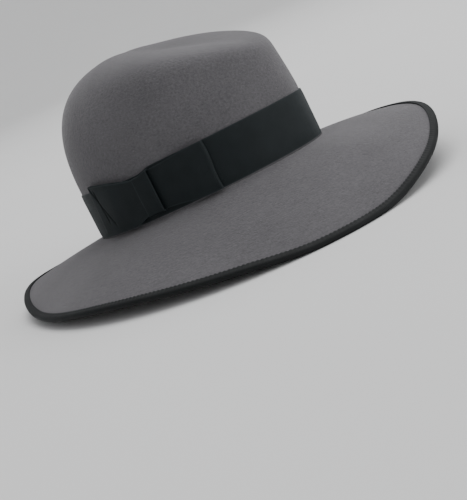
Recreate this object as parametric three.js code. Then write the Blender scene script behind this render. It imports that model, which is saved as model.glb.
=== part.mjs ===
// Wide-brim fedora in grey felt, with a black ribbon band, a flat side bow and a bound brim edge.
// Millimetres, +Z up, +X the front of the hat, +Y the wearer's left. The hat rests on z = 0.
import * as THREE from "three";

// Head oval and crown, to the middle of the felt. Heights start at the foot of the crown.
const HEAD_LENGTH = 203;
const HEAD_WIDTH = 168;
const CROWN_HEIGHT = 125;
const CROWN_FRONT_DROP = 39.5;
const CROWN_BACK_DROP = 1;
const CROWN_LEAN = 5.5;

// Shape of the crown: where its peak lies along the head's length from the middle, how its slope
// to the front curves, and how square its profile is at the back, at the sides and at the front. The
// changes from the sides to front and back overlap past the middle, by a share of half the length.
const CROWN_FORM = { peak: -0.103, frontCurve: 1.24, overlap: 0.4 };
const CROWN_SQUARENESS = { back: 3.4, side: 2.6, front: 14 };

// Soft dents pressed into the crown. The teardrop on top is given by its deepest place ahead of the
// middle, its length and its width as shares of the head's length and width. A shallow pinch on each
// front side is given by its height, side and spread as shares of the crown's height and head's width.
const DENT_DEPTH = 2.5;
const DENT_FORM = { ahead: 0.13, length: 0.6, width: 0.225, rearSpread: 0.55, frontSpread: 0.9, taper: 0.5 };
const PINCH_DEPTH = 2;
const PINCH_FORM = { height: 0.6, side: 0.265, spread: 0.19 };

// Brim, measured outward from the foot of the crown to the outside of its ribbon binding. It slopes
// almost straight to the rim on the right and bends down towards it on the left.
const BRIM_FRONT = 86.5;
const BRIM_BACK = 78;
const BRIM_SIDE = 86;
const BRIM_DROP = 59.5;
const BRIM_STRAIGHTNESS = { right: 0.75, left: 0.15 };
const FOOT_FILLET = 2;

// Felt, ribbon and the room between two pieces.
const FELT = 2;
const RIBBON = 1;
const CLEARANCE = 0.3;
const BAND_HEIGHT = 38;
const BINDING_WIDTH = 6.5;

// Flat bow on the right side of the hat.
const BOW_AHEAD = 11;
const KNOT_WIDTH = 14.5;
const FRONT_LOOP_LENGTH = 53;
const BACK_LOOP_LENGTH = 58;
const LOOP_FULLNESS = 2.4;
const LOOP_PINCH_TOP = 2;
const LOOP_PINCH_FOOT = 4;
const BACK_LOOP_RISE = 4.5;

// The felt gives a little where its rim touches the floor, and its ribbon is pressed flat there.
const FLOOR_GIVE = 2;
const SOLE_FLAT = 0.5;

// Height of the brim edge below the foot of the crown, as a share of BRIM_DROP, every 30 degrees
// from the front over the left side, the back and the right side.
const EDGE_DROP = [
  { side: "front", drop: 0.72 },
  { side: "left of front", drop: 0.33 },
  { side: "front of left", drop: 0.2 },
  { side: "left", drop: 0.24 },
  { side: "back of left", drop: 0.26 },
  { side: "left of back", drop: 0.3 },
  { side: "back", drop: 0.21 },
  { side: "right of back", drop: 0.21 },
  { side: "back of right", drop: 0.49 },
  { side: "right", drop: 0.61 },
  { side: "front of right", drop: 0.81 },
  { side: "right of front", drop: 1 },
];

const AROUND = 64;
const TURN = 2 * Math.PI;
const halfLength = HEAD_LENGTH / 2;
const halfWidth = HEAD_WIDTH / 2;
const brimFoot = FOOT_FILLET + CLEARANCE;

const vec = (x, y, z) => new THREE.Vector3(x, y, z);
const along = (point, direction, distance) => point.clone().addScaledVector(direction, distance);
const step = (from, to, value) => THREE.MathUtils.smoothstep(value, from, to);
const bell = (distance, spread) => Math.exp(-((distance / spread) ** 2));
const columns = Array.from({ length: AROUND }, (_, column) => (column / AROUND) * TURN);

// ---- Felt body ----

// Drop of the brim edge at an angle: a smooth closed curve through the table.
function edgeDrop(angle) {
  const count = EDGE_DROP.length;
  const place = ((angle / TURN) * count + count) % count;
  const index = Math.floor(place);
  const part = place - index;
  const at = (offset) => EDGE_DROP[(index + offset + count) % count].drop;
  const rise = at(1) - at(0);
  const slopeHere = (at(1) - at(-1)) / 2;
  const slopeNext = (at(2) - at(0)) / 2;
  const square = (3 * rise - 2 * slopeHere - slopeNext) * part ** 2;
  const cube = (slopeHere + slopeNext - 2 * rise) * part ** 3;
  return BRIM_DROP * (at(0) + slopeHere * part + square + cube);
}

// The crown's profile is squarest at the front, so its corner there is tight, and roundest at the sides.
function squareness(angle) {
  const { back, side, front } = CROWN_SQUARENESS;
  const toFront = step(-CROWN_FORM.overlap, 1, Math.cos(angle));
  const toBack = step(-CROWN_FORM.overlap, 1, -Math.cos(angle));
  return 1 / (1 / side + (1 / front - 1 / side) * toFront + (1 / back - 1 / side) * toBack);
}

// Height of the crown's top over a place along the hat: highest behind the middle.
const peakX = CROWN_FORM.peak * HEAD_LENGTH;
function topHeight(x) {
  const toFront = Math.max(0, x - peakX) / (halfLength - peakX);
  const toBack = Math.max(0, peakX - x) / (halfLength + peakX);
  const frontDrop = CROWN_FRONT_DROP * toFront ** CROWN_FORM.frontCurve;
  return CROWN_HEIGHT - frontDrop - CROWN_BACK_DROP * toBack ** 2;
}

// Teardrop dent: wide where it is deepest, a narrow groove towards the front.
function dent(x, y) {
  const { ahead, length, width, rearSpread, frontSpread, taper } = DENT_FORM;
  const place = (2 * (x - ahead * HEAD_LENGTH)) / (length * HEAD_LENGTH);
  const depth = bell(place, place < 0 ? rearSpread : frontSpread);
  const narrowing = 1 - taper * step(0, 1.4, place);
  return DENT_DEPTH * depth * bell(y, (width * HEAD_WIDTH * narrowing) / 2);
}

// Shallow pinch on each front side of the crown.
function pinch(x, y, height) {
  const aside = (Math.abs(y) - PINCH_FORM.side * HEAD_WIDTH) / CROWN_HEIGHT;
  const above = height / CROWN_HEIGHT - PINCH_FORM.height;
  const front = step(0, 0.5, x / halfLength);
  return PINCH_DEPTH * front * bell(aside, PINCH_FORM.spread) * bell(above, PINCH_FORM.spread);
}

// Middle of the felt on the wall behind the band, which is upright.
function wallPoint(angle, height) {
  return vec(halfLength * Math.cos(angle), halfWidth * Math.sin(angle), height);
}

// Middle of the felt above the band, where the crown rounds in. The climb runs from 0 at the top of
// the band to 1 at the middle of the crown's top.
function crownPoint(angle, climb) {
  const power = squareness(angle);
  const cosine = Math.cos((climb * Math.PI) / 2);
  const sine = Math.sin((climb * Math.PI) / 2);
  const reach = (cosine ** power + sine ** power) ** (-1 / power);
  const plan = wallPoint(angle, 0).multiplyScalar(reach * cosine);
  const height = BAND_HEIGHT + (topHeight(plan.x) - BAND_HEIGHT) * reach * sine;
  const lean = CROWN_LEAN * step(BAND_HEIGHT, CROWN_HEIGHT, height);
  const keep = 1 - (lean + pinch(plan.x, plan.y, height)) / halfLength;
  return vec(plan.x * keep, plan.y * keep, height - dent(plan.x, plan.y));
}

// Outward direction of the head oval, level.
function wallNormal(angle) {
  return vec(Math.cos(angle) / halfLength, Math.sin(angle) / halfWidth, 0).normalize();
}

const edgeWrap = FELT / 2 + CLEARANCE + RIBBON;

// Rim of the brim before it touches the floor.
function freeEdge(angle) {
  const ahead = Math.cos(angle) > 0 ? BRIM_FRONT : BRIM_BACK;
  const x = (halfLength + ahead - edgeWrap) * Math.cos(angle);
  const y = (halfWidth + BRIM_SIDE - edgeWrap) * Math.sin(angle);
  return vec(x, y, -edgeDrop(angle));
}

// Upward normal of the floor that the free rim would rest on, seen from the hat: the plane through
// three of its points that has the crown's middle between them and no point of the rim below it.
function restingNormal(rim) {
  const normal = vec(0, 0, 1);
  const beside = (a, b) => Math.sign(a.x * b.y - a.y * b.x);
  rim.forEach((a, first) => rim.slice(first + 1).forEach((b, skipped) => {
    if (beside(a, b) <= 0) {
      return;
    }
    rim.slice(first + skipped + 2).forEach((c) => {
      if (beside(b, c) <= 0 || beside(c, a) <= 0) {
        return;
      }
      const up = b.clone().sub(a).cross(c.clone().sub(a)).normalize();
      if (rim.every((point) => point.clone().sub(a).dot(up) > -1e-6)) {
        normal.copy(up);
      }
    });
  }));
  return normal;
}

const freeRim = columns.map(freeEdge);
const floorUp = restingNormal(freeRim);
const floorLevel = Math.min(...freeRim.map((point) => point.dot(floorUp))) + FLOOR_GIVE;

// How far the floor lifts the rim at an angle.
function edgeLift(angle) {
  const clear = freeEdge(angle).dot(floorUp) - floorLevel;
  return (Math.hypot(clear, FLOOR_GIVE) - clear) / 2;
}

// Middle of the felt on the brim. The share runs from 0 at the foot of the crown to 1 at the rim.
function brimPoint(angle, share) {
  const foot = wallPoint(angle, 0);
  const edge = freeEdge(angle);
  const { right, left } = BRIM_STRAIGHTNESS;
  const straight = THREE.MathUtils.lerp(right, left, (1 + Math.sin(angle)) / 2);
  const fall = straight * share + (1 - straight) * share ** 2;
  const point = foot.clone().lerp(edge, share);
  point.z = -brimFoot - (-edge.z - brimFoot) * fall;
  return along(point, floorUp, edgeLift(angle) * share ** 3);
}

// Small round between wall and brim. The turn runs from 0 at the wall to 1 at the brim.
function filletPoint(angle, turn) {
  const outward = wallNormal(angle);
  const swing = (turn * Math.PI) / 2;
  const level = FOOT_FILLET - brimFoot - FOOT_FILLET * Math.sin(swing);
  const point = wallPoint(angle, level);
  point.z = level;
  return along(point, outward, FOOT_FILLET * (1 - Math.cos(swing)));
}

const CROWN_CLIMBS = [
  0.93, 0.85, 0.77, 0.7, 0.64, 0.59, 0.55, 0.52, 0.495, 0.47, 0.44, 0.39, 0.32, 0.23, 0.12, 0,
];
const WALL_SHARES = [0.45];
const FILLET_TURNS = [0, 0.55];
const BRIM_SHARES = [0.06, 0.15, 0.27, 0.4, 0.53, 0.66, 0.78, 0.87];

// Share of the brim's width at which its binding starts.
function bindingShare(angle) {
  const width = freeEdge(angle).sub(wallPoint(angle, 0)).length();
  return 1 - (BINDING_WIDTH - edgeWrap) / width;
}

const middle = [
  ...CROWN_CLIMBS.map((climb) => columns.map((angle) => crownPoint(angle, climb))),
  ...WALL_SHARES.map((share) => columns.map((angle) => wallPoint(angle, share * BAND_HEIGHT))),
  ...FILLET_TURNS.map((turn) => columns.map((angle) => filletPoint(angle, turn))),
  ...BRIM_SHARES.map((share) => columns.map((angle) => brimPoint(angle, share))),
  columns.map((angle) => brimPoint(angle, bindingShare(angle))),
  columns.map((angle) => brimPoint(angle, 1)),
];
const bindingRow = middle.length - 2;
const rimRow = middle.length - 1;
const crest = vec(0, 0, topHeight(0) - dent(0, 0));

// Outward side of the felt at each point of the grid, and the way out at its rim.
const wrap = (column) => (column + AROUND) % AROUND;
const outwards = middle.map((ring, row) => ring.map((_, column) => {
  const across = ring[wrap(column + 1)].clone().sub(ring[wrap(column - 1)]);
  const above = row > 0 ? middle[row - 1][column] : crest;
  const below = row < rimRow ? middle[row + 1][column] : ring[column];
  return below.clone().sub(above).cross(across).normalize();
}));
const rimOut = middle[rimRow].map((point, column) => {
  const out = point.clone().sub(middle[bindingRow][column]);
  const side = outwards[rimRow][column];
  return out.addScaledVector(side, -out.dot(side)).normalize();
});
const layer = (row, distance) => middle[row].map((p, column) => along(p, outwards[row][column], distance));

// Half round about the rim, from its upper side over the edge to its under side.
function rimRound(radius, turnsDeg) {
  return turnsDeg.map((degrees) => middle[rimRow].map((point, column) => {
    const turn = THREE.MathUtils.degToRad(degrees);
    const raised = along(point, outwards[rimRow][column], radius * Math.sin(turn));
    return along(raised, rimOut[column], radius * Math.cos(turn));
  }));
}

// ---- Solids ----

const felt = new THREE.MeshStandardMaterial({ color: 0x6e6d70, roughness: 0.95, metalness: 0 });
const ribbon = new THREE.MeshStandardMaterial({ color: 0x1a2124, roughness: 0.75, metalness: 0 });

// The hat is turned from its own upright onto the floor and centred over the origin.
const settle = new THREE.Quaternion().setFromUnitVectors(floorUp, vec(0, 0, 1));
const turned = (point) => point.clone().applyQuaternion(settle);
const bindingSkin = rimRound(edgeWrap, [90, 60, 30, 0, -30, -60, -90]);
const hull = new THREE.Box3().setFromPoints(bindingSkin.flat().map(turned));
const centre = hull.getCenter(vec(0, 0, 0));
const floorShift = vec(-centre.x, -centre.y, -hull.min.z - SOLE_FLAT);

// Places points on the floor, pressed flat where they would reach below their layer's height.
function lay(rings, layerHeight = 0) {
  return rings.map((ring) => ring.map((point) => {
    const placed = turned(point).add(floorShift);
    placed.z = Math.max(placed.z, layerHeight);
    return placed;
  }));
}

// One closed body from vertices and triangles, with its faces turned outward.
function solid(name, points, triangles, material) {
  const volume = triangles.reduce((sum, [a, b, c]) =>
    sum + points[a].dot(points[b].clone().cross(points[c])), 0);
  const facing = volume > 0 ? triangles : triangles.map(([a, b, c]) => [a, c, b]);
  const geometry = new THREE.BufferGeometry().setFromPoints(points);
  geometry.setIndex(facing.flat());
  geometry.computeVertexNormals();
  const mesh = new THREE.Mesh(geometry, material);
  mesh.name = name;
  return mesh;
}

// Triangles between neighbouring rings of equal count.
function bridge(rings, closed) {
  const count = rings[0].length;
  const triangles = [];
  const last = closed ? rings.length : rings.length - 1;
  for (let ring = 0; ring < last; ring += 1) {
    for (let column = 0; column < count; column += 1) {
      const next = (column + 1) % count;
      const here = ring * count;
      const there = ((ring + 1) % rings.length) * count;
      triangles.push([here + column, there + column, there + next]);
      triangles.push([here + column, there + next, here + next]);
    }
  }
  return triangles;
}

// Rings that close on themselves, such as a band.
function hoop(name, rings, material) {
  return solid(name, rings.flat(), bridge(rings, true), material);
}

// Rings between two end points.
function shell(name, first, rings, last, material) {
  const count = rings[0].length;
  const points = [...rings.flat(), first, last];
  const firstIndex = points.length - 2;
  const lastIndex = points.length - 1;
  const lastRing = (rings.length - 1) * count;
  const triangles = bridge(rings, false);
  for (let column = 0; column < count; column += 1) {
    const next = (column + 1) % count;
    triangles.push([firstIndex, column, next]);
    triangles.push([lastIndex, lastRing + next, lastRing + column]);
  }
  return solid(name, points, triangles, material);
}

// A ribbon: four-cornered rings along its run, with its two cut ends closed.
function strip(name, rings, material) {
  const triangles = bridge(rings, false);
  const last = (rings.length - 1) * 4;
  triangles.push([0, 1, 2], [0, 2, 3], [last, last + 2, last + 1], [last, last + 3, last + 2]);
  return solid(name, rings.flat(), triangles, material);
}

// ---- Pieces ----

const rowNumbers = middle.map((_, row) => row);
const feltRings = [
  ...rowNumbers.map((row) => layer(row, FELT / 2)),
  ...rimRound(FELT / 2, [30, -30]),
  ...rowNumbers.toReversed().map((row) => layer(row, -FELT / 2)),
];
const crests = [along(crest, floorUp, FELT / 2), along(crest, floorUp, -FELT / 2)];
const [[outerCrest, innerCrest]] = lay([crests]);
const body = shell("felt_crown_and_brim", outerCrest, lay(feltRings, RIBBON + CLEARANCE), innerCrest, felt);

// Ribbon round the foot of the crown.
const bandInside = FELT / 2 + CLEARANCE;
const bandOutside = bandInside + RIBBON;
const bandRing = (height, distance) => columns.map((angle) =>
  along(wallPoint(angle, height), wallNormal(angle), distance));
const BAND_LEVELS = [0, 0.55, 1];
const bandRings = [
  ...BAND_LEVELS.map((share) => bandRing(share * BAND_HEIGHT, bandInside)),
  ...BAND_LEVELS.toReversed().map((share) => bandRing(share * BAND_HEIGHT, bandOutside)),
];
const band = hoop("ribbon_band", lay(bandRings), ribbon);

// Ribbon folded over the edge of the brim, its inner half round kept clear of the felt.
const roundStep = 45;
const innerRadius = (FELT / 2 + CLEARANCE) / Math.cos(THREE.MathUtils.degToRad(roundStep / 2));
const bindingOuter = [layer(bindingRow, edgeWrap), ...bindingSkin, layer(bindingRow, -edgeWrap)];
const bindingInner = [
  layer(bindingRow, -(FELT / 2 + CLEARANCE)),
  ...rimRound(innerRadius, [-1.5, -0.5, 0.5, 1.5].map((half) => half * roundStep)),
  layer(bindingRow, FELT / 2 + CLEARANCE),
];
const binding = hoop("brim_binding", [...lay(bindingOuter), ...lay(bindingInner, RIBBON)], ribbon);

// Angle on the head oval at a distance along it from the middle of the right side, to the front.
function angleAt(distance) {
  const STEPS = 40;
  let angle = -TURN / 4;
  for (let count = 0; count < STEPS; count += 1) {
    angle += distance / STEPS / Math.hypot(halfLength * Math.sin(angle), halfWidth * Math.cos(angle));
  }
  return angle;
}

// A place on the bow: along the band, above its lower edge, and out from its face.
function onBand(distance, height, out) {
  const angle = angleAt(BOW_AHEAD + distance);
  return along(wallPoint(angle, height), wallNormal(angle), bandOutside + out);
}

// A loop: one ribbon that runs out along the band, folds over and comes back, its ends in the knot.
function loop(name, direction, length, rise) {
  const start = CLEARANCE + RIBBON / 2;
  const nearBand = CLEARANCE + RIBBON / 2;
  const gap = (share) => RIBBON + CLEARANCE + (LOOP_FULLNESS - CLEARANCE) * step(0.1, 0.8, share);
  const fold = (RIBBON + LOOP_FULLNESS) / 2;
  const straight = length - fold - RIBBON / 2;
  const SHARES = [0, 0.14, 0.3, 0.5, 0.7, 0.86, 1];
  const FOLD_TURNS = [-60, -30, 0, 30, 60];
  const run = [
    ...SHARES.map((share) => [start + (straight - start) * share, nearBand]),
    ...FOLD_TURNS.map((degrees) => {
      const turn = THREE.MathUtils.degToRad(degrees);
      return [straight + fold * Math.cos(turn), nearBand + fold + fold * Math.sin(turn)];
    }),
    ...SHARES.toReversed().map((share) => [start + (straight - start) * share, nearBand + gap(share)]),
  ];
  const rings = run.map(([distance, out], index) => {
    const [beforeDistance, beforeOut] = run[Math.max(0, index - 1)];
    const [afterDistance, afterOut] = run[Math.min(run.length - 1, index + 1)];
    const tangent = new THREE.Vector2(afterDistance - beforeDistance, afterOut - beforeOut).normalize();
    const open = step(KNOT_WIDTH / 2, length * 0.85, distance);
    const lift = rise * open;
    const top = BAND_HEIGHT - LOOP_PINCH_TOP * (1 - open) + lift;
    const foot = LOOP_PINCH_FOOT * (1 - open) + lift;
    const corner = (height, side) => onBand(
      direction * (distance - side * tangent.y * RIBBON / 2),
      height,
      out + side * tangent.x * RIBBON / 2,
    );
    return [corner(foot, 1), corner(top, 1), corner(top, -1), corner(foot, -1)];
  });
  return strip(name, lay(rings), ribbon);
}

const frontLoop = loop("bow_front_loop", 1, FRONT_LOOP_LENGTH, 0);
const backLoop = loop("bow_back_loop", -1, BACK_LOOP_LENGTH, BACK_LOOP_RISE);

// The knot: a short ribbon over both loops, turned in at its top and foot towards the band.
function knot() {
  const loopStack = 2 * (RIBBON + CLEARANCE);
  const face = loopStack + CLEARANCE + RIBBON / 2;
  const top = BAND_HEIGHT - LOOP_PINCH_TOP + CLEARANCE + RIBBON / 2;
  const foot = LOOP_PINCH_FOOT - CLEARANCE - RIBBON / 2;
  const soft = RIBBON;
  const run = [
    [CLEARANCE, top],
    [face - soft, top],
    [face - soft * 0.3, top - soft * 0.3],
    [face, top - soft],
    [face, (top + foot) / 2],
    [face, foot + soft],
    [face - soft * 0.3, foot + soft * 0.3],
    [face - soft, foot],
    [CLEARANCE, foot],
  ];
  const rings = run.map(([out, height], index) => {
    const [beforeOut, beforeHeight] = run[Math.max(0, index - 1)];
    const [afterOut, afterHeight] = run[Math.min(run.length - 1, index + 1)];
    const tangent = new THREE.Vector2(afterOut - beforeOut, afterHeight - beforeHeight).normalize();
    const corner = (distance, side) => onBand(
      distance * KNOT_WIDTH / 2,
      height + side * tangent.x * RIBBON / 2,
      out - side * tangent.y * RIBBON / 2,
    );
    return [corner(-1, 1), corner(1, 1), corner(1, -1), corner(-1, -1)];
  });
  return strip("bow_knot", lay(rings), ribbon);
}

const hat = new THREE.Group();
hat.add(body, band, frontLoop, backLoop, knot(), binding);

export default hat;
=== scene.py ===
import bisect
import math

import bpy
from mathutils import Matrix, Vector, noise


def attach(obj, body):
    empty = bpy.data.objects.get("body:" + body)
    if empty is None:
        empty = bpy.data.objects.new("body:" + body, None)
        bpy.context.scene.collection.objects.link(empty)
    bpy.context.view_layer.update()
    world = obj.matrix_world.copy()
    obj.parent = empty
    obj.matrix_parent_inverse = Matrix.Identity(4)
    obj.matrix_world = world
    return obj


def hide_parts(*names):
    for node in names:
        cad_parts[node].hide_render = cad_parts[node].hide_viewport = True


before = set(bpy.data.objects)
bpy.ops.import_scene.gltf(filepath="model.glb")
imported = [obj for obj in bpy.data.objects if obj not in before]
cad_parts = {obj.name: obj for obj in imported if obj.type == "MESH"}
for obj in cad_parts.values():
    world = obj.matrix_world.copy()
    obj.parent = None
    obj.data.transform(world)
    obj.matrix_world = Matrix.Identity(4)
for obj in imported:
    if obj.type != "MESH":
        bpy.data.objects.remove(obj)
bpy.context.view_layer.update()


# ---- Crown and brim ----
# One body of grey wool felt, 2 mm thick, blocked in one piece from a soft hood and brushed round
# to a fine nap. The crown keeps a shallow teardrop dent; the brim is pressed down in front.
FELT_DARK = (0.0664, 0.0641, 0.0684, 1)
FELT_LIGHT = (0.153, 0.1475, 0.1565, 1)
FELT_HAIR = (0.25, 0.244, 0.254, 1)
NAP_TURN_RADIUS = 0.1
HAND_WOBBLE = 0.0004
HAND_SPAN = 0.05
FELT_LEVELS = 2
WOBBLE_SHIFTS = (Vector((9.3, -1.5, -7.9)), Vector((0, 0, 0)), Vector((6.3, 11.1, -1.2)))


def merged_copy(node_name, piece_name):
    """A copy of one solid with its triangles joined and turned back into four-sided faces."""
    piece = bpy.data.objects.new(piece_name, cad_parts[node_name].data.copy())
    bpy.context.scene.collection.objects.link(piece)
    bpy.ops.object.select_all(action="DESELECT")
    bpy.context.view_layer.objects.active = piece
    piece.select_set(True)
    piece.data.materials.clear()
    bpy.ops.object.mode_set(mode="EDIT")
    bpy.ops.mesh.select_all(action="SELECT")
    bpy.ops.mesh.remove_doubles(threshold=0.00001)
    bpy.ops.mesh.tris_convert_to_quads(face_threshold=math.radians(60), shape_threshold=math.radians(80))
    bpy.ops.object.mode_set(mode="OBJECT")
    return piece


def apply_modifier(piece, kind, **settings):
    """Adds one modifier with these settings and applies it."""
    bpy.ops.object.select_all(action="DESELECT")
    bpy.context.view_layer.objects.active = piece
    piece.select_set(True)
    modifier = piece.modifiers.new(kind.lower(), kind)
    for name, value in settings.items():
        setattr(modifier, name, value)
    bpy.ops.object.modifier_apply(modifier=modifier.name)


def subdivide_through(piece, levels):
    """Rounds a piece off with a subdivision surface that still runs through its own points."""
    wanted = [vertex.co.copy() for vertex in piece.data.vertices]
    rounding = piece.modifiers.new("rounding", "SUBSURF")
    rounding.levels = levels
    rounding.render_levels = levels
    for _ in range(3):
        rounded = piece.evaluated_get(bpy.context.evaluated_depsgraph_get()).data.vertices
        misses = [place - rounded[index].co for index, place in enumerate(wanted)]
        for vertex, miss in zip(piece.data.vertices, misses):
            vertex.co += miss
        piece.data.update()
        piece.update_tag()
    bpy.ops.object.select_all(action="DESELECT")
    bpy.context.view_layer.objects.active = piece
    piece.select_set(True)
    bpy.ops.object.modifier_apply(modifier=rounding.name)
    bpy.ops.object.shade_smooth()


def add_node(tree, kind, values=None, **settings):
    """A shader node; a value that is a socket of another node is linked, any other is set."""
    made = tree.nodes.new(kind)
    for name, value in settings.items():
        setattr(made, name, value)
    for socket, value in (values or {}).items():
        if isinstance(value, bpy.types.NodeSocket):
            tree.links.new(value, made.inputs[socket])
        else:
            made.inputs[socket].default_value = value
    return made


def new_material(name):
    """A material with its shader and nothing else; gives the material, its tree and the shader."""
    material = bpy.data.materials.new(name)
    material.use_nodes = True
    return material, material.node_tree, material.node_tree.nodes["Principled BSDF"]


felt = merged_copy("felt_crown_and_brim", "felt_body")
subdivide_through(felt, FELT_LEVELS)
for vertex in felt.data.vertices:
    spot = vertex.co / HAND_SPAN
    vertex.co += HAND_WOBBLE * Vector([noise.noise(spot + shift) for shift in WOBBLE_SHIFTS])

felt_look, tree, shader = new_material("grey_wool_felt")
place = add_node(tree, "ShaderNodeTexCoord").outputs["Object"]
axes = add_node(tree, "ShaderNodeSeparateXYZ", {0: place})
level_place = add_node(tree, "ShaderNodeVectorMath", {0: place, 1: (1, 1, 0)}, operation="MULTIPLY")
way_round = add_node(tree, "ShaderNodeVectorMath", {0: level_place.outputs[0]}, operation="NORMALIZE")
on_ring = add_node(tree, "ShaderNodeVectorMath", {
    0: way_round.outputs[0], 3: NAP_TURN_RADIUS,
}, operation="SCALE")
from_middle = add_node(tree, "ShaderNodeVectorMath", {0: level_place.outputs[0]}, operation="LENGTH")
ring_axes = add_node(tree, "ShaderNodeSeparateXYZ", {0: on_ring.outputs[0]})
climb = add_node(tree, "ShaderNodeMath", {0: axes.outputs["Z"], 1: 3.0}, operation="MULTIPLY")
reach = add_node(tree, "ShaderNodeMath", {0: from_middle.outputs["Value"], 1: 3.0}, operation="MULTIPLY")
brushed = add_node(tree, "ShaderNodeCombineXYZ", {
    "X": ring_axes.outputs["X"], "Y": ring_axes.outputs["Y"], "Z": climb.outputs[0],
})
strokes = add_node(tree, "ShaderNodeTexNoise", {
    "Vector": brushed.outputs[0], "W": reach.outputs[0],
    "Scale": 340, "Detail": 3, "Roughness": 0.65, "Distortion": 0.5,
}, noise_dimensions="4D")
cloud = add_node(tree, "ShaderNodeTexNoise", {
    "Vector": place, "Scale": 18, "Detail": 3, "Roughness": 0.55,
})
nap = add_node(tree, "ShaderNodeTexNoise", {
    "Vector": place, "Scale": 560, "Detail": 3, "Roughness": 0.7,
})
hairs = add_node(tree, "ShaderNodeTexNoise", {
    "Vector": brushed.outputs[0], "W": reach.outputs[0],
    "Scale": 620, "Detail": 2, "Roughness": 0.6, "Distortion": 1.5,
}, noise_dimensions="4D")
cloud_tone = add_node(tree, "ShaderNodeMapRange", {
    "Value": cloud.outputs["Fac"], "From Min": 0.3, "From Max": 0.7, "To Min": 0.38, "To Max": 0.62,
})
stroke_tone = add_node(tree, "ShaderNodeMapRange", {
    "Value": strokes.outputs["Fac"], "From Min": 0.32, "From Max": 0.68, "To Min": -0.16, "To Max": 0.16,
})
nap_tone = add_node(tree, "ShaderNodeMapRange", {
    "Value": nap.outputs["Fac"], "From Min": 0.32, "From Max": 0.68, "To Min": -0.17, "To Max": 0.17,
})
part_tone = add_node(tree, "ShaderNodeMath", {
    0: cloud_tone.outputs[0], 1: stroke_tone.outputs[0],
}, operation="ADD")
tone = add_node(tree, "ShaderNodeMath", {
    0: part_tone.outputs[0], 1: nap_tone.outputs[0],
}, operation="ADD", use_clamp=True)
felt_colour = add_node(tree, "ShaderNodeMix", {
    0: tone.outputs[0], 6: FELT_DARK, 7: FELT_LIGHT,
}, data_type="RGBA")
hair_mask = add_node(tree, "ShaderNodeMapRange", {
    "Value": hairs.outputs["Fac"], "From Min": 0.6, "From Max": 0.74, "To Min": 0, "To Max": 0.3,
})
hair_colour = add_node(tree, "ShaderNodeMix", {
    0: hair_mask.outputs[0], 6: felt_colour.outputs[2], 7: FELT_HAIR,
}, data_type="RGBA")
fuzz = add_node(tree, "ShaderNodeMath", {
    0: nap.outputs["Fac"], 1: strokes.outputs["Fac"],
}, operation="ADD")
fuzz_bump = add_node(tree, "ShaderNodeBump", {
    "Strength": 0.6, "Distance": 0.0008, "Height": fuzz.outputs[0],
})
tree.links.new(hair_colour.outputs[2], shader.inputs["Base Color"])
tree.links.new(fuzz_bump.outputs["Normal"], shader.inputs["Normal"])
shader.inputs["Roughness"].default_value = 0.95
shader.inputs["Specular IOR Level"].default_value = 0.15
shader.inputs["Sheen Weight"].default_value = 0.35
shader.inputs["Sheen Roughness"].default_value = 0.4
shader.inputs["Sheen Tint"].default_value = (0.8, 0.79, 0.8, 1)
felt.data.materials.append(felt_look)

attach(felt, "root")
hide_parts("felt_crown_and_brim")


# ---- Ribbon band ----
# A black grosgrain ribbon, 38 mm wide, drawn tight round the foot of the crown. Its two ends meet
# behind the knot of the bow, and small tacking stitches hold it to the felt.
HEAD_HALF_LENGTH = 0.1015
HEAD_HALF_WIDTH = 0.084
CROWN_FOOT = Vector((-0.0071373, 0.0013413, 0.0374196))
HAT_UP = Vector((-0.104365, 0.052269, 0.993165))
BAND_WIDTH = 0.038
BAND_FACE = 0.0022
RIBBON_THICK = 0.0007
RIBBON_BLACK = (0.0042, 0.0066, 0.0076, 1)
RIBBON_SOFT_BLACK = (0.0078, 0.0122, 0.0138, 1)
# painted highlight colour, put on the ribbon's folds and along its selvedges
RIBBON_HIGHLIGHT = (0.030, 0.038, 0.041, 1)
# painted shade: the near black put into the pressed creases of the back loop
RIBBON_CREASE_SHADE = (0.0012, 0.0016, 0.0018, 1)
RIBBON_SHEEN = 0.05
RIB_PITCH = 0.0011
THREAD_PITCH = 0.0004
SELVEDGE_FULL = 0.0004
SELVEDGE_ENDS = 0.0011
# how strongly the selvedges are painted paler: a painted highlight along the ribbon's edges
SELVEDGE_HIGHLIGHT = 0.4

lean = Vector((0, 0, 1)).rotation_difference(HAT_UP).to_matrix()


def on_hat(point):
    """A point of the upright hat, with its origin at the foot of the crown, where it now stands."""
    return lean @ point + CROWN_FOOT


def run_of_oval():
    """Length along the head oval, from the middle of the right side over the front, by angle."""
    steps = 1440
    angles = [-math.pi / 2 + 2 * math.pi * count / steps for count in range(steps + 1)]
    runs = [0.0]
    for before, after in zip(angles, angles[1:]):
        middle = (before + after) / 2
        speed = math.hypot(HEAD_HALF_LENGTH * math.sin(middle), HEAD_HALF_WIDTH * math.cos(middle))
        runs.append(runs[-1] + speed * (after - before))
    return runs, angles


oval_runs, oval_angles = run_of_oval()
OVAL_LENGTH = oval_runs[-1]


def angle_on_oval(distance):
    """Angle on the head oval at a distance along it from the middle of the right side."""
    distance %= OVAL_LENGTH
    index = min(bisect.bisect_right(oval_runs, distance), len(oval_runs) - 1)
    share = (distance - oval_runs[index - 1]) / (oval_runs[index] - oval_runs[index - 1])
    return oval_angles[index - 1] + share * (oval_angles[index] - oval_angles[index - 1])


def on_crown(distance, height, out):
    """A place on the crown's wall: along the oval, above the crown's foot, out from the felt."""
    angle = angle_on_oval(distance)
    outward = Vector((math.cos(angle) / HEAD_HALF_LENGTH, math.sin(angle) / HEAD_HALF_WIDTH, 0))
    oval = Vector((HEAD_HALF_LENGTH * math.cos(angle), HEAD_HALF_WIDTH * math.sin(angle), height))
    return on_hat(oval + outward.normalized() * out)


def smooth_step(value, start, end):
    """Rises smoothly from 0 at start to 1 at end."""
    share = min(1, max(0, (value - start) / (end - start)))
    return share * share * (3 - 2 * share)


def no_marks(along, across):
    """A ribbon without folds or creases."""
    return 0


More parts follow.
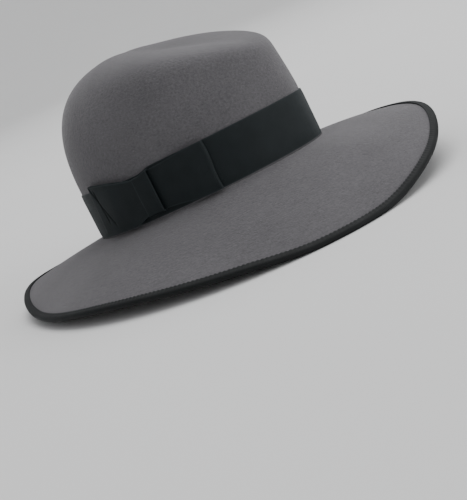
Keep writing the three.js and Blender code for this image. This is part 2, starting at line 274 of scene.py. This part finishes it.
def ribbon_strip(name, length, width, columns, rows, place_on, marks_on=no_marks):
    """A flat strip of ribbon with its UV in metres, its points moved to place_on(along, across).

    Its marks are up to 1 for a painted highlight on a fold and down to -1 in a crease, which the material
    paints in shade."""
    bpy.ops.object.select_all(action="DESELECT")
    bpy.ops.mesh.primitive_grid_add(x_subdivisions=columns, y_subdivisions=rows, size=1, calc_uvs=True)
    strip = bpy.context.active_object
    strip.name = name
    for corner in strip.data.uv_layers.active.data:
        corner.uv = (corner.uv.x * length, corner.uv.y * width)
    marks = strip.data.attributes.new("marks", "FLOAT", "POINT")
    for index, vertex in enumerate(strip.data.vertices):
        along, across = (vertex.co.x + 0.5) * length, (vertex.co.y + 0.5) * width
        marks.data[index].value = marks_on(along, across)
        vertex.co = place_on(along, across)
    return strip


def give_thickness(strip, offset):
    """Joins a closed strip's ends, gives the ribbon its thickness and shades it smooth."""
    bpy.ops.object.select_all(action="DESELECT")
    bpy.context.view_layer.objects.active = strip
    strip.select_set(True)
    bpy.ops.object.mode_set(mode="EDIT")
    bpy.ops.mesh.select_all(action="SELECT")
    bpy.ops.mesh.remove_doubles(threshold=0.00002)
    bpy.ops.object.mode_set(mode="OBJECT")
    apply_modifier(strip, "SOLIDIFY", thickness=RIBBON_THICK, offset=offset, use_even_offset=True)
    bpy.ops.object.shade_smooth_by_angle(angle=math.radians(50))


def grosgrain_group():
    """Weave of a ribbed ribbon on a UV in metres: rounded ribs across, fine threads along, selvedges; its
    tone is painted lighter on the rib crests, a painted highlight.
    """
    group = bpy.data.node_groups.new("grosgrain_weave", "ShaderNodeTree")
    group.interface.new_socket("UV", in_out="INPUT", socket_type="NodeSocketVector")
    for name in ("Rib Pitch", "Width"):
        group.interface.new_socket(name, in_out="INPUT", socket_type="NodeSocketFloat")
    for name in ("Height", "Tone", "Selvedge"):
        group.interface.new_socket(name, in_out="OUTPUT", socket_type="NodeSocketFloat")
    given = group.nodes.new("NodeGroupInput")
    parts = add_node(group, "ShaderNodeSeparateXYZ", {0: given.outputs["UV"]})
    turns = add_node(group, "ShaderNodeMath", {
        0: parts.outputs["X"], 1: given.outputs["Rib Pitch"],
    }, operation="DIVIDE")
    phase = add_node(group, "ShaderNodeMath", {0: turns.outputs[0], 1: math.pi}, operation="MULTIPLY")
    wave = add_node(group, "ShaderNodeMath", {0: phase.outputs[0]}, operation="SINE")
    rib = add_node(group, "ShaderNodeMath", {0: wave.outputs[0]}, operation="ABSOLUTE")
    thread_turns = add_node(group, "ShaderNodeMath", {
        0: parts.outputs["Y"], 1: 2 * math.pi / THREAD_PITCH,
    }, operation="MULTIPLY")
    thread = add_node(group, "ShaderNodeMath", {0: thread_turns.outputs[0]}, operation="SINE")
    height = add_node(group, "ShaderNodeMath", {
        0: thread.outputs[0], 1: 0.12, 2: rib.outputs[0],
    }, operation="MULTIPLY_ADD")
    paler = add_node(group, "ShaderNodeTexNoise", {
        "Vector": given.outputs["UV"], "Scale": 55, "Detail": 4, "Roughness": 0.6,
    })
    # the rib crests are painted lighter, a painted highlight, on top of random tone
    tone = add_node(group, "ShaderNodeMath", {
        0: height.outputs[0], 1: 0.35, 2: paler.outputs["Fac"],
    }, operation="MULTIPLY_ADD", use_clamp=True)
    half_width = add_node(group, "ShaderNodeMath", {
        0: given.outputs["Width"], 1: 0.5,
    }, operation="MULTIPLY")
    from_middle = add_node(group, "ShaderNodeMath", {
        0: parts.outputs["Y"], 1: half_width.outputs[0],
    }, operation="SUBTRACT")
    aside = add_node(group, "ShaderNodeMath", {0: from_middle.outputs[0]}, operation="ABSOLUTE")
    to_edge = add_node(group, "ShaderNodeMath", {
        0: half_width.outputs[0], 1: aside.outputs[0],
    }, operation="SUBTRACT")
    selvedge = add_node(group, "ShaderNodeMapRange", {
        "Value": to_edge.outputs[0], "From Min": SELVEDGE_FULL, "From Max": SELVEDGE_ENDS,
        "To Min": 1, "To Max": 0,
    }, interpolation_type="SMOOTHSTEP")
    given_out = group.nodes.new("NodeGroupOutput")
    group.links.new(height.outputs[0], given_out.inputs["Height"])
    group.links.new(tone.outputs[0], given_out.inputs["Tone"])
    group.links.new(selvedge.outputs[0], given_out.inputs["Selvedge"])
    return group


grosgrain = grosgrain_group()


def ribbon_material(name, width, dark, light, paler, sheen):
    """Black ribbed ribbon: the weave gives tone, roughness and bump, with its rib crests painted lighter
    as a painted highlight; a painted highlight on the selvedge and folds, and painted shade in the
    creases.
    """
    material, tree, shader = new_material(name)
    uv = add_node(tree, "ShaderNodeTexCoord").outputs["UV"]
    weave = add_node(tree, "ShaderNodeGroup", node_tree=grosgrain)
    tree.links.new(uv, weave.inputs["UV"])
    weave.inputs["Rib Pitch"].default_value = RIB_PITCH
    weave.inputs["Width"].default_value = width
    woven = add_node(tree, "ShaderNodeMix", {
        0: weave.outputs["Tone"], 6: dark, 7: light,
    }, data_type="RGBA")
    marks = add_node(tree, "ShaderNodeAttribute", attribute_name="marks")
    # painted highlight along the selvedges
    edge_highlight = add_node(tree, "ShaderNodeMath", {
        0: weave.outputs["Selvedge"], 1: SELVEDGE_HIGHLIGHT,
    }, operation="MULTIPLY")
    # where the painted highlight goes: the folds and the selvedges
    highlight_mask = add_node(tree, "ShaderNodeMath", {
        0: marks.outputs["Fac"], 1: edge_highlight.outputs[0],
    }, operation="MAXIMUM", use_clamp=True)
    highlighted = add_node(tree, "ShaderNodeMix", {
        0: highlight_mask.outputs[0], 6: woven.outputs[2], 7: paler,
    }, data_type="RGBA")
    # painted shade: where the marks fall below 0, in the pressed creases, the ribbon is painted near
    # black
    crease = add_node(tree, "ShaderNodeMapRange", {
        "Value": marks.outputs["Fac"], "From Min": -1, "From Max": 0, "To Min": 0.8, "To Max": 0,
    })
    colour = add_node(tree, "ShaderNodeMix", {
        0: crease.outputs[0], 6: highlighted.outputs[2], 7: RIBBON_CREASE_SHADE,
    }, data_type="RGBA")
    rough = add_node(tree, "ShaderNodeMapRange", {
        "Value": weave.outputs["Tone"], "To Min": 0.78, "To Max": 0.6,
    })
    bump = add_node(tree, "ShaderNodeBump", {
        "Strength": 0.35, "Distance": 0.0002, "Height": weave.outputs["Height"],
    })
    tree.links.new(colour.outputs[2], shader.inputs["Base Color"])
    tree.links.new(rough.outputs[0], shader.inputs["Roughness"])
    tree.links.new(bump.outputs["Normal"], shader.inputs["Normal"])
    shader.inputs["Specular IOR Level"].default_value = 0.22
    shader.inputs["Sheen Weight"].default_value = sheen
    shader.inputs["Sheen Roughness"].default_value = 0.45
    shader.inputs["Sheen Tint"].default_value = (0.55, 0.68, 0.72, 1)
    return material


ribbon_look = ribbon_material(
    "black_grosgrain", BAND_WIDTH, RIBBON_BLACK, RIBBON_SOFT_BLACK, RIBBON_HIGHLIGHT, RIBBON_SHEEN,
)

BOW_AHEAD = 0.011
GATHER_DEPTH = 0.0025
GATHER_BEGINS = -0.010
GATHER_FULL = 0.004
GATHER_EASES = 0.012
GATHER_ENDS = 0.045
EDGE_DRAWN_IN = 0.0003
EDGE_REACH = 0.004


def gathered_top(behind):
    """How far the knot draws the band's upper edge down at a distance behind its middle."""
    rising = smooth_step(behind, GATHER_BEGINS, GATHER_FULL)
    return GATHER_DEPTH * rising * (1 - smooth_step(behind, GATHER_EASES, GATHER_ENDS))


def on_band(along, across):
    """The band's outer face, its edges drawn a little closer to the felt than its middle."""
    drawn_in = EDGE_DRAWN_IN * (1 - smooth_step(min(across, BAND_WIDTH - across), 0, EDGE_REACH))
    behind = OVAL_LENGTH / 2 - (along + OVAL_LENGTH / 2) % OVAL_LENGTH
    height = across * (1 - gathered_top(behind) / BAND_WIDTH)
    return on_crown(BOW_AHEAD + along, height, BAND_FACE - drawn_in)


band = ribbon_strip("ribbon_band_cloth", OVAL_LENGTH, BAND_WIDTH, columns=320, rows=20, place_on=on_band)
give_thickness(band, -1)
band.data.materials.append(ribbon_look)

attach(band, "root")
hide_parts("ribbon_band")


# ---- Flat bow ----
# Two loops of the same ribbon on the right side of the hat, one to each side of a knot. Each is
# folded over at its end and gathered under the knot; the back one is folded double, at a slant.
KNOT_WIDTH = 0.0145
KNOT_FACE = 0.0047
KNOT_ROUND = 0.001
KNOT_UNEVEN = 0.0002
KNOT_UNEVEN_SPAN = 0.009
FRONT_LOOP_LENGTH = 0.053
FRONT_PINCH_REACH = 0.85
FRONT_END_WAVE = -0.0006
# Painted highlight along the front loop's fold: how far round the fold it lies, and how strong it is.
FRONT_FOLD_HIGHLIGHT_SHARE = 0.7
FRONT_FOLD_HIGHLIGHT = 0.12
BACK_LOOP_LENGTH = 0.0588
BACK_PINCH_REACH = 0.4
BACK_FOLD_STEP = 0.0045
BACK_FOLD_EASE = 0.0002
BACK_TOP_FOLD = 0.0011
BACK_TOP_LENGTH = BACK_LOOP_LENGTH - BACK_FOLD_STEP
BACK_TOP_RISE = 0.0047
BACK_FOOT_RISE = 0.0025
BACK_END_SKEW = 0.075
# Painted highlight along the back loop's upper fold: how far past the fold it lies, and how strong it is.
BACK_FOLD_HIGHLIGHT_AT = 0.0008
BACK_FOLD_HIGHLIGHT = 0.2
BACK_CREASES = (
    {"from_top": 0.02, "in_from_end": 0.0012, "to_low": 0.83, "in_at_low": 0.0150},
    {"from_top": 0.11, "in_from_end": 0.0055, "to_low": 0.76, "in_at_low": 0.0090},
)
CREASE_HALF_WIDTH = 0.0006
CREASE_DEPTH = 0.0009
# half width of the painted highlight along the folds
FOLD_HIGHLIGHT_HALF_WIDTH = 0.0007
PINCH_TOP = 0.002
PINCH_FOOT = 0.004
LAYER_ROOM = 0.0002
LOOP_FULLNESS = 0.0026
LOOP_OPENS = 0.1
LOOP_OPEN = 0.75
LOOP_CROWN = 0.0005
LOOP_UNEVEN = 0.0005
LOOP_UNEVEN_SPAN = 0.016


def crease_at(from_end, across):
    """How deep the pressed creases near the end of the back loop are at a place, from 0 to 1."""
    down = 1 - across / BAND_WIDTH
    deepest = 0
    for crease in BACK_CREASES:
        top, low = crease["from_top"], crease["to_low"]
        slant = (crease["in_at_low"] - crease["in_from_end"]) / (low - top)
        aside = from_end - crease["in_from_end"] - slant * (down - top)
        fade = smooth_step(down, top - 0.06, top + 0.03) * (1 - smooth_step(down, low - 0.08, low + 0.05))
        deepest = max(deepest, fade * math.exp(-(aside / CREASE_HALF_WIDTH) ** 2))
    return deepest


def in_loop(run, across, near, fold, length, pressed):
    """How far from the knot and from the band a place on a loop lies, as it runs out, folds over
    at its end and comes back to the knot."""
    straight = length - fold - RIBBON_THICK / 2
    bend = math.pi * fold
    if run < straight:
        distance, out = run, near
    elif run < straight + bend:
        turn = (run - straight) / fold - math.pi / 2
        distance = straight + fold * math.cos(turn)
        out = near + fold + fold * math.sin(turn)
    else:
        distance = max(0, 2 * straight + bend - run)
        share = smooth_step(distance / straight, LOOP_OPENS, LOOP_OPEN)
        out = near + RIBBON_THICK + LAYER_ROOM + (2 * fold - RIBBON_THICK - LAYER_ROOM) * share
        middle = 1 - (2 * across / BAND_WIDTH - 1) ** 2
        out += LOOP_CROWN * middle * share
        out += LOOP_UNEVEN * share * noise.noise(Vector((distance, across, length)) / LOOP_UNEVEN_SPAN)
        out -= CREASE_DEPTH * pressed
    return distance, out


def loop_run(length, fold):
    """Length of ribbon in one loop."""
    return 2 * (length - fold - RIBBON_THICK / 2) + math.pi * fold


front_near = LAYER_ROOM + RIBBON_THICK / 2
front_fold = (RIBBON_THICK + LOOP_FULLNESS) / 2
front_run = loop_run(FRONT_LOOP_LENGTH, front_fold)
# where the painted highlight runs along the front loop's fold
front_fold_at = (front_run - math.pi * front_fold) / 2 + math.pi * front_fold * FRONT_FOLD_HIGHLIGHT_SHARE


def on_front_loop(along, across):
    """The front loop: one ribbon folded over at its end, where it waves a little."""
    distance, out = in_loop(along, across, front_near, front_fold, FRONT_LOOP_LENGTH, 0)
    spread = smooth_step(distance, KNOT_WIDTH / 2, FRONT_LOOP_LENGTH * FRONT_PINCH_REACH)
    top = BAND_WIDTH - PINCH_TOP * (1 - spread) - gathered_top(-distance)
    foot = PINCH_FOOT * (1 - spread)
    height = foot + (top - foot) * across / BAND_WIDTH
    distance += FRONT_END_WAVE * spread * spread * math.sin(2 * math.pi * across / BAND_WIDTH)
    return on_crown(BOW_AHEAD + distance, height, BAND_FACE + out)


def front_marks(along, across):
    """The painted highlight along the fold at the end of the front loop."""
    return FRONT_FOLD_HIGHLIGHT * math.exp(-((along - front_fold_at) / FOLD_HIGHLIGHT_HALF_WIDTH) ** 2)


front_loop = ribbon_strip(
    "bow_front_loop_cloth", front_run, BAND_WIDTH, columns=240, rows=24,
    place_on=on_front_loop, marks_on=front_marks,
)
give_thickness(front_loop, 0)

back_fold = (RIBBON_THICK + LAYER_ROOM) / 2 + BACK_FOLD_EASE
back_top_near = front_near + 2 * back_fold + RIBBON_THICK + LAYER_ROOM
back_run = loop_run(BACK_LOOP_LENGTH, back_fold)
back_top_run = loop_run(BACK_TOP_LENGTH, BACK_TOP_FOLD)


def back_marks(along, across):
    """The pressed creases on the upper layer of the back loop, which are painted in shade, and the
    painted highlight along its fold.
    """
    from_fold = along - back_run - back_top_run / 2
    if from_fold < 0:
        return 0
    # painted highlight along the fold
    highlighted = BACK_FOLD_HIGHLIGHT * math.exp(-((from_fold - BACK_FOLD_HIGHLIGHT_AT) / FOLD_HIGHLIGHT_HALF_WIDTH) ** 2)
    return highlighted - crease_at(from_fold - math.pi * BACK_TOP_FOLD / 2, across)


def on_back_loop(along, across):
    """Both layers of the back loop: the first reaches the end, the second stops short of it. Both
    climb towards their end, and are longer at their foot."""
    if along < back_run:
        length = BACK_LOOP_LENGTH
        distance, out = in_loop(along, across, front_near, back_fold, length, 0)
    else:
        length = BACK_TOP_LENGTH
        pressed = -min(0, back_marks(along, across))
        distance, out = in_loop(along - back_run, across, back_top_near, BACK_TOP_FOLD, length, pressed)
    spread = smooth_step(distance, KNOT_WIDTH / 2, length * BACK_PINCH_REACH)
    climb = min(1, max(0, (distance - KNOT_WIDTH / 2) / (length - KNOT_WIDTH / 2)))
    drawn_down = PINCH_TOP + gathered_top(distance)
    top = BAND_WIDTH - drawn_down * (1 - climb) + BACK_TOP_RISE * climb
    foot = PINCH_FOOT * (1 - spread) + BACK_FOOT_RISE * climb * climb
    height = foot + (top - foot) * across / BAND_WIDTH
    distance *= 1 + BACK_END_SKEW * (1 - across / BAND_WIDTH) * climb
    return on_crown(BOW_AHEAD - distance, height, BAND_FACE + out)


back_loop = ribbon_strip(
    "bow_back_loop_cloth", back_run + back_top_run, BAND_WIDTH, columns=600, rows=40,
    place_on=on_back_loop, marks_on=back_marks,
)
give_thickness(back_loop, 0)

knot_top = BAND_WIDTH - PINCH_TOP + LAYER_ROOM + RIBBON_THICK / 2
knot_foot = PINCH_FOOT - LAYER_ROOM - RIBBON_THICK / 2
knot_drop = KNOT_FACE - KNOT_ROUND
knot_rise = knot_top - knot_foot - 2 * KNOT_ROUND
knot_quarter = math.pi / 2 * KNOT_ROUND
knot_run = 2 * knot_drop + 2 * knot_quarter + knot_rise


def on_knot(along, across):
    """The knot's ribbon: out at its foot, up over both loops and in again at its top."""
    if along < knot_drop:
        out, height = along, knot_foot
    elif along < knot_drop + knot_quarter:
        turn = (along - knot_drop) / KNOT_ROUND
        out = knot_drop + KNOT_ROUND * math.sin(turn)
        height = knot_foot + KNOT_ROUND * (1 - math.cos(turn))
    elif along < knot_drop + knot_quarter + knot_rise:
        out = KNOT_FACE
        height = knot_foot + KNOT_ROUND + along - knot_drop - knot_quarter
    elif along < knot_run - knot_drop:
        turn = (along - knot_drop - knot_quarter - knot_rise) / KNOT_ROUND
        out = knot_drop + KNOT_ROUND * math.cos(turn)
        height = knot_top - KNOT_ROUND * (1 - math.sin(turn))
    else:
        out, height = knot_run - along, knot_top
    side = across / KNOT_WIDTH - 0.5
    uneven = noise.noise(Vector((across, height, 0)) / KNOT_UNEVEN_SPAN)
    out += KNOT_UNEVEN * uneven * smooth_step(out, KNOT_ROUND, KNOT_FACE)
    height -= gathered_top(side * KNOT_WIDTH) * smooth_step(height, BAND_WIDTH / 2, BAND_WIDTH)
    return on_crown(BOW_AHEAD - side * KNOT_WIDTH, height, BAND_FACE + out)


knot = ribbon_strip("bow_knot_cloth", knot_run, KNOT_WIDTH, columns=90, rows=16, place_on=on_knot)
give_thickness(knot, 0)
knot_look = ribbon_material(
    "black_grosgrain_knot", KNOT_WIDTH, RIBBON_BLACK, RIBBON_SOFT_BLACK, RIBBON_HIGHLIGHT, RIBBON_SHEEN,
)

for piece, node, look, flat in (
    (front_loop, "bow_front_loop", ribbon_look, (BAND_WIDTH, front_run)),
    (back_loop, "bow_back_loop", ribbon_look, (BAND_WIDTH, back_run + back_top_run)),
    (knot, "bow_knot", knot_look, (KNOT_WIDTH, knot_run)),
):
    piece.data.materials.append(look)
    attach(piece, "root")
    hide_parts(node)


# ---- Brim binding ----
# The same black ribbon in a narrower width, folded over the cut edge of the brim and sewn through
# the felt near its inner edge, which is drawn into small scallops by the stitches.
BRIM_FRONT = 0.0865
BRIM_BACK = 0.078
BRIM_SIDE = 0.086
BRIM_DROP = 0.0595
STRAIGHTNESS_RIGHT = 0.75
STRAIGHTNESS_LEFT = 0.15
BRIM_FOOT = 0.0023
BINDING_REACH = 0.0065
BINDING_FACE = 0.0023
FLOOR_UP = Vector((0.104365, -0.052269, 0.993165))
FLOOR_LEVEL = -0.0360387
FLOOR_GIVE = 0.002
EDGE_DROPS = (0.72, 0.33, 0.2, 0.24, 0.26, 0.3, 0.21, 0.21, 0.49, 0.61, 0.81, 1)
SCALLOP_PITCH = 0.0033
SCALLOP_DEPTH = 0.0005
EDGE_SETTLE = 0.0006
STEPS_PER_SCALLOP = 6
BINDING_BLACK = (0.0036, 0.0042, 0.0045, 1)
BINDING_SOFT_BLACK = (0.0066, 0.0078, 0.0082, 1)
# painted highlight colour along the binding's selvedges
BINDING_HIGHLIGHT = (0.016, 0.019, 0.02, 1)
BINDING_SHEEN = 0.02


def edge_drop(angle):
    """Drop of the brim's edge below the crown's foot: a smooth closed curve through the table."""
    count = len(EDGE_DROPS)
    place = (angle / (2 * math.pi) * count) % count
    index = int(place)
    part = place - index
    before, here, after, beyond = (EDGE_DROPS[(index + offset) % count] for offset in (-1, 0, 1, 2))
    rise = after - here
    slope_here = (after - before) / 2
    slope_next = (beyond - here) / 2
    square = (3 * rise - 2 * slope_here - slope_next) * part ** 2
    cube = (slope_here + slope_next - 2 * rise) * part ** 3
    return BRIM_DROP * (here + slope_here * part + square + cube)


def brim_point(angle, share):
    """Middle of the felt on the brim, from the crown's foot at 0 to the rim at 1, on the upright hat."""
    ahead = BRIM_FRONT if math.cos(angle) > 0 else BRIM_BACK
    edge = Vector((
        (HEAD_HALF_LENGTH + ahead - BINDING_FACE) * math.cos(angle),
        (HEAD_HALF_WIDTH + BRIM_SIDE - BINDING_FACE) * math.sin(angle),
        -edge_drop(angle),
    ))
    foot = Vector((HEAD_HALF_LENGTH * math.cos(angle), HEAD_HALF_WIDTH * math.sin(angle), 0))
    clear = edge.dot(FLOOR_UP) - FLOOR_LEVEL
    lift = (math.hypot(clear, FLOOR_GIVE) - clear) / 2
    leftward = (1 + math.sin(angle)) / 2
    straight = STRAIGHTNESS_RIGHT + (STRAIGHTNESS_LEFT - STRAIGHTNESS_RIGHT) * leftward
    fall = straight * share + (1 - straight) * share ** 2
    point = foot.lerp(edge, share)
    point.z = -BRIM_FOOT - (-edge.z - BRIM_FOOT) * fall
    return point + FLOOR_UP * lift * share ** 3


def rim_frame(angle):
    """The rim's middle, and its ways out, up and along, on the upright hat."""
    tip = brim_point(angle, 1)
    out = (tip - brim_point(angle, 0.93)).normalized()
    along = (brim_point(angle + 0.01, 1) - brim_point(angle - 0.01, 1)).normalized()
    up = out.cross(along).normalized()
    out = along.cross(up).normalized()
    return tip, out, up, along


RIM_STEPS = 2880
rim_angles = [2 * math.pi * count / RIM_STEPS for count in range(RIM_STEPS + 1)]
rim_tips = [brim_point(angle, 1) for angle in rim_angles]
rim_runs = [0.0]
for before, after in zip(rim_tips, rim_tips[1:]):
    rim_runs.append(rim_runs[-1] + (after - before).length)
RIM_LENGTH = rim_runs[-1]
SCALLOPS = round(RIM_LENGTH / SCALLOP_PITCH)


def rim_angle_at(run):
    """Angle on the rim at a distance along it from the front."""
    run = min(max(run, 0), RIM_LENGTH)
    index = min(bisect.bisect_right(rim_runs, run), RIM_STEPS)
    share = (run - rim_runs[index - 1]) / (rim_runs[index] - rim_runs[index - 1])
    return rim_angles[index - 1] + share * (rim_angles[index] - rim_angles[index - 1])


fold_radius = BINDING_FACE
flat_reach = BINDING_REACH - fold_radius
fold_run = math.pi * fold_radius
binding_width = 2 * flat_reach + fold_run
frame_cache = {}


def on_binding(along, across):
    """The binding's outer face, from its lower inner edge round the rim to its upper inner edge."""
    if along not in frame_cache:
        frame_cache[along] = rim_frame(rim_angle_at(along))
    tip, out, up, _ = frame_cache[along]
    stitch = 0.5 + 0.5 * math.cos(2 * math.pi * along / RIM_LENGTH * SCALLOPS)
    to_edge = min(across, binding_width - across) / flat_reach
    near_edge = 1 - min(1, to_edge)
    reach = flat_reach * (1 - min(1, to_edge)) - SCALLOP_DEPTH * stitch * near_edge
    turn = min(max((across - flat_reach) / fold_radius, 0), math.pi) - math.pi / 2
    radius = fold_radius - EDGE_SETTLE * smooth_step(near_edge, 0.1, 1) * (0.55 + 0.45 * stitch)
    point = tip - out * reach + out * radius * math.cos(turn) + up * radius * math.sin(turn)
    placed = on_hat(point)
    placed.z = max(placed.z, 0)
    return placed


binding = ribbon_strip(
    "brim_binding_cloth", RIM_LENGTH, binding_width, columns=SCALLOPS * STEPS_PER_SCALLOP, rows=14,
    place_on=on_binding,
)
give_thickness(binding, -1)
binding_look = ribbon_material(
    "black_binding_ribbon", binding_width,
    BINDING_BLACK, BINDING_SOFT_BLACK, BINDING_HIGHLIGHT, BINDING_SHEEN,
)
binding.data.materials.append(binding_look)

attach(binding, "root")
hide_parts("brim_binding")


# ---- Floor, light and camera ----
# A pale round floor that curves up into its own wall, a wide soft light high over the far side of
# the hat, a weak low one in front of it, and the camera low over the hat's right side.
FLOOR_RADIUS = 3.2
WALL_CURVE = 1.2
WALL_STEPS = 10
FLOOR_DARK = (0.78, 0.78, 0.775, 1)
FLOOR_LIGHT = (0.81, 0.81, 0.805, 1)
LIGHT_AIM = Vector((0, 0, 0.06))

bpy.ops.object.select_all(action="DESELECT")
bpy.ops.mesh.primitive_circle_add(vertices=96, radius=FLOOR_RADIUS, fill_type="NGON")
floor = bpy.context.active_object
floor.name = "floor"
bpy.ops.object.mode_set(mode="EDIT")
bpy.ops.mesh.select_all(action="SELECT")
bpy.ops.mesh.region_to_loop()
radius_now, level_now = FLOOR_RADIUS, 0
for count in range(1, WALL_STEPS + 1):
    turn = math.pi / 2 * count / WALL_STEPS
    radius_next = FLOOR_RADIUS + WALL_CURVE * math.sin(turn)
    level_next = WALL_CURVE * (1 - math.cos(turn))
    bpy.ops.mesh.extrude_edges_move(TRANSFORM_OT_translate={"value": (0, 0, level_next - level_now)})
    bpy.ops.transform.resize(value=(radius_next / radius_now, radius_next / radius_now, 1))
    radius_now, level_now = radius_next, level_next
bpy.ops.object.mode_set(mode="OBJECT")
bpy.ops.object.shade_smooth_by_angle(angle=math.radians(40))

floor_look, tree, shader = new_material("pale_floor")
place = add_node(tree, "ShaderNodeTexCoord").outputs["Object"]
paper = add_node(tree, "ShaderNodeTexNoise", {"Vector": place, "Scale": 3, "Detail": 2})
floor_colour = add_node(tree, "ShaderNodeMix", {
    0: paper.outputs["Fac"], 6: FLOOR_DARK, 7: FLOOR_LIGHT,
}, data_type="RGBA")
tree.links.new(floor_colour.outputs[2], shader.inputs["Base Color"])
shader.inputs["Roughness"].default_value = 0.9
shader.inputs["Specular IOR Level"].default_value = 0.1
floor.data.materials.append(floor_look)


def soft_light(name, place, size, power):
    """A square soft light that faces the middle of the hat."""
    bpy.ops.object.light_add(type="AREA", location=place)
    light = bpy.context.active_object
    light.name = name
    light.data.size = size
    light.data.energy = power
    light.rotation_euler = (LIGHT_AIM - Vector(place)).to_track_quat("-Z", "Y").to_euler()


soft_light("key_light", (0.0, 1.1, 2.9), 3.0, 82)
soft_light("front_light", (2.4, 0.3, 0.5), 1.6, 24)

world = bpy.data.worlds.new("studio")
world.use_nodes = True
world.node_tree.nodes["Background"].inputs["Color"].default_value = (0.97, 0.98, 1.0, 1)
world.node_tree.nodes["Background"].inputs["Strength"].default_value = 0.53
bpy.context.scene.world = world

VIEW_AXIS = Vector((-0.5745, 0.7846, -0.2331)).normalized()
VIEW_ROLL = math.radians(23.48)
level_right = VIEW_AXIS.cross(Vector((0, 0, 1))).normalized()
level_up = level_right.cross(VIEW_AXIS)
view_up = level_up * math.cos(VIEW_ROLL) + level_right * math.sin(VIEW_ROLL)
view_right = VIEW_AXIS.cross(view_up)
bpy.ops.object.camera_add()
camera = bpy.context.active_object
camera.data.lens = 77.735
camera.data.sensor_width = 36
camera.matrix_world = Matrix((
    (*view_right, 0), (*view_up, 0), (*-VIEW_AXIS, 0), (0, 0, 0, 1),
)).transposed()
camera.location = (0.4992, -0.6957, 0.1865)
bpy.context.scene.camera = camera
